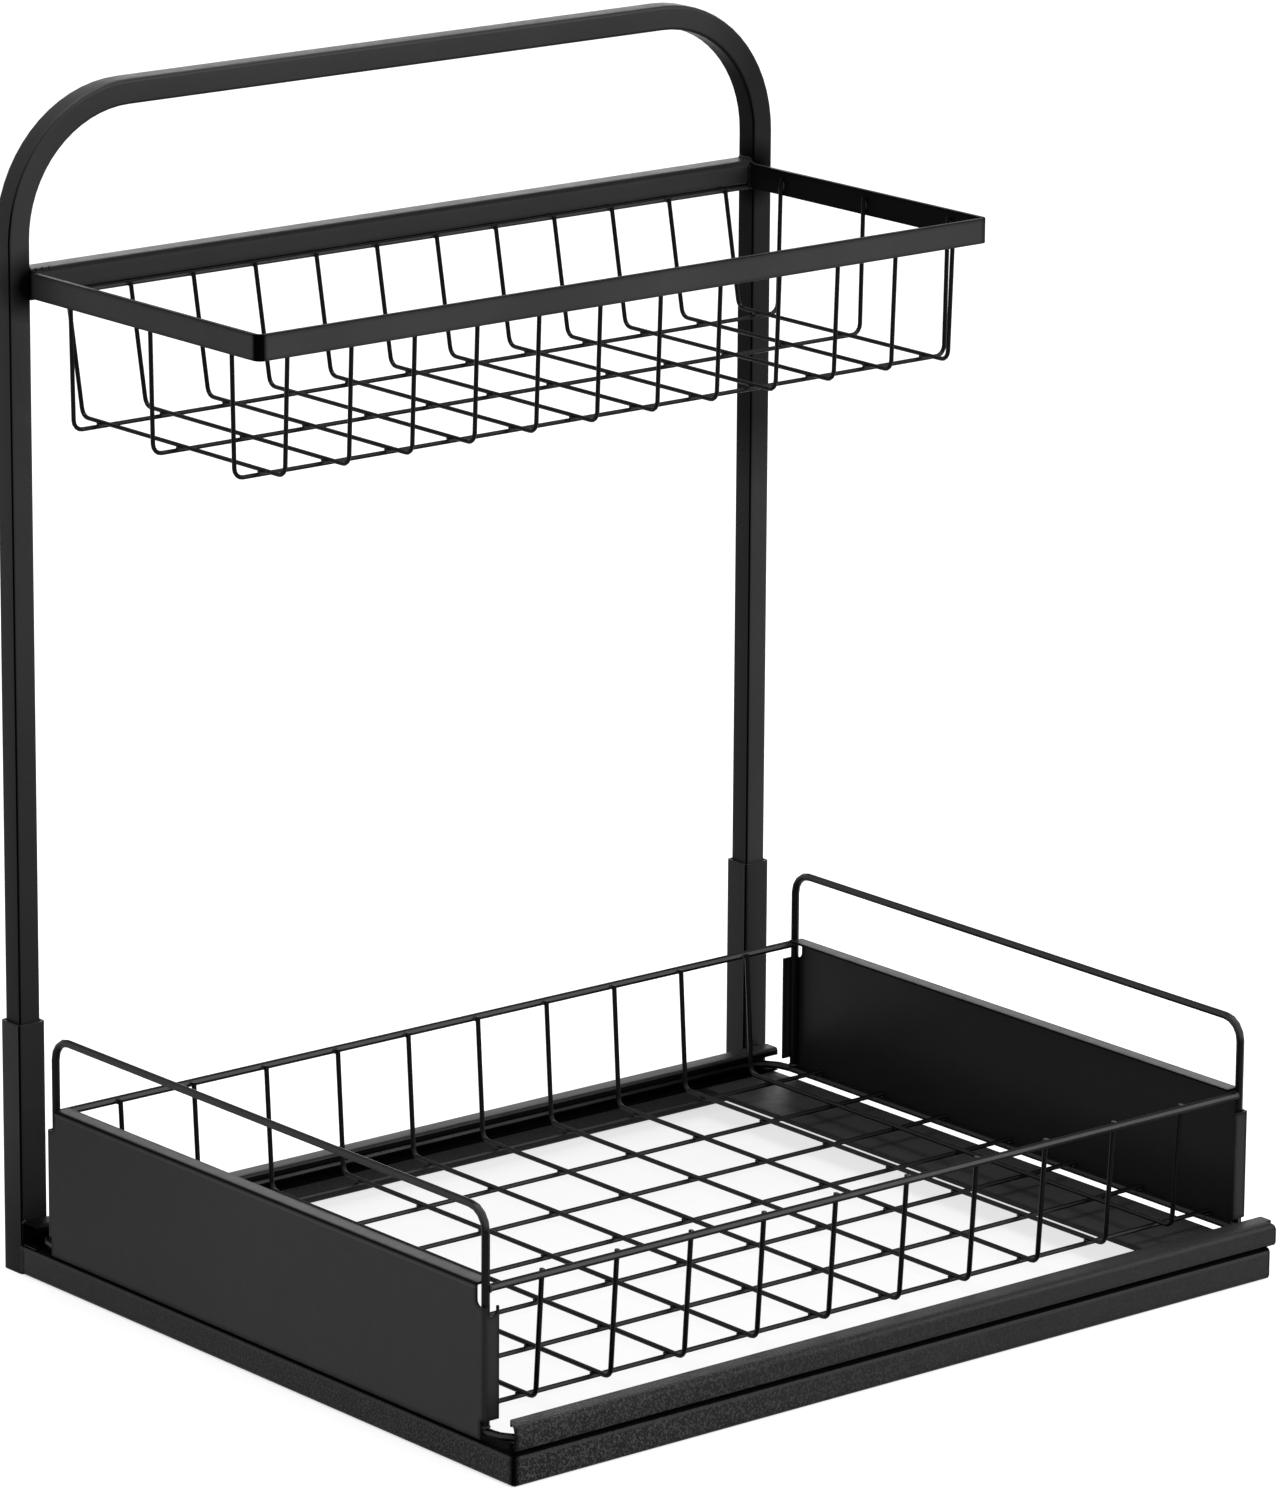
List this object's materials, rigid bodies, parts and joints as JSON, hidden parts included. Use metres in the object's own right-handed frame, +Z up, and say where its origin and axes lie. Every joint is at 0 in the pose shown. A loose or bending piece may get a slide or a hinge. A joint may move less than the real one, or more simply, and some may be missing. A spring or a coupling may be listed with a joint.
{
  "type": "two-tier spice rack",
  "caption": "Tiered spice rack of square tube and wire, with a wire drawer that slides between folded end plates and a wire basket on a plug-in U frame.",
  "frame": {"origin": "on the floor, under the centre of the rack's outline", "axes": "+Z up, +X to the right along the drawer's slide, and the front, with the mitred tube corner at its left end, at -Y"},
  "size_m": [0.38, 0.318, 0.4645],
  "materials": {
    "powder_coat": "satin",
    "screw": "satin"
  },
  "bodies": {
    "frame": {"base_tube_front": "powder_coat", "base_tube_left": "powder_coat", "base_tube_rear": "powder_coat", "base_cross_member": "powder_coat", "sleeve_left": "powder_coat", "sleeve_right": "powder_coat", "lock_screw_left": "screw", "lock_screw_right": "screw", "rail_front": "powder_coat", "rail_rear": "powder_coat", "upper_frame": "powder_coat", "basket_rear_bar": "powder_coat", "basket_rim": "powder_coat", "basket_rear_wire": "powder_coat", "basket_depth_wire_01": "powder_coat", "basket_depth_wire_02": "powder_coat", "basket_depth_wire_03": "powder_coat", "basket_depth_wire_04": "powder_coat", "basket_depth_wire_05": "powder_coat", "basket_depth_wire_06": "powder_coat", "basket_depth_wire_07": "powder_coat", "basket_depth_wire_08": "powder_coat", "basket_depth_wire_09": "powder_coat", "basket_depth_wire_10": "powder_coat", "basket_depth_wire_11": "powder_coat", "basket_depth_wire_12": "powder_coat", "basket_long_wire_1": "powder_coat", "basket_long_wire_2": "powder_coat", "basket_long_wire_3": "powder_coat"},
    "drawer": {"end_plate_left": "powder_coat", "end_plate_right": "powder_coat", "handle_left": "powder_coat", "handle_right": "powder_coat", "drawer_rod_front": "powder_coat", "drawer_rod_rear": "powder_coat", "runner_ring": "powder_coat", "drawer_depth_wire_01": "powder_coat", "drawer_depth_wire_02": "powder_coat", "drawer_depth_wire_03": "powder_coat", "drawer_depth_wire_04": "powder_coat", "drawer_depth_wire_05": "powder_coat", "drawer_depth_wire_06": "powder_coat", "drawer_depth_wire_07": "powder_coat", "drawer_depth_wire_08": "powder_coat", "drawer_depth_wire_09": "powder_coat", "drawer_depth_wire_10": "powder_coat", "drawer_long_wire_1": "powder_coat", "drawer_long_wire_2": "powder_coat", "drawer_long_wire_3": "powder_coat", "drawer_long_wire_4": "powder_coat", "drawer_long_wire_5": "powder_coat", "drawer_long_wire_6": "powder_coat", "drawer_long_wire_7": "powder_coat"}
  },
  "joints": [
    {"name": "drawer_slide", "type": "slide", "parent": "frame", "child": "drawer", "axis": [1, 0, 0], "range_m": [-0.25, 0.25]}
  ]
}
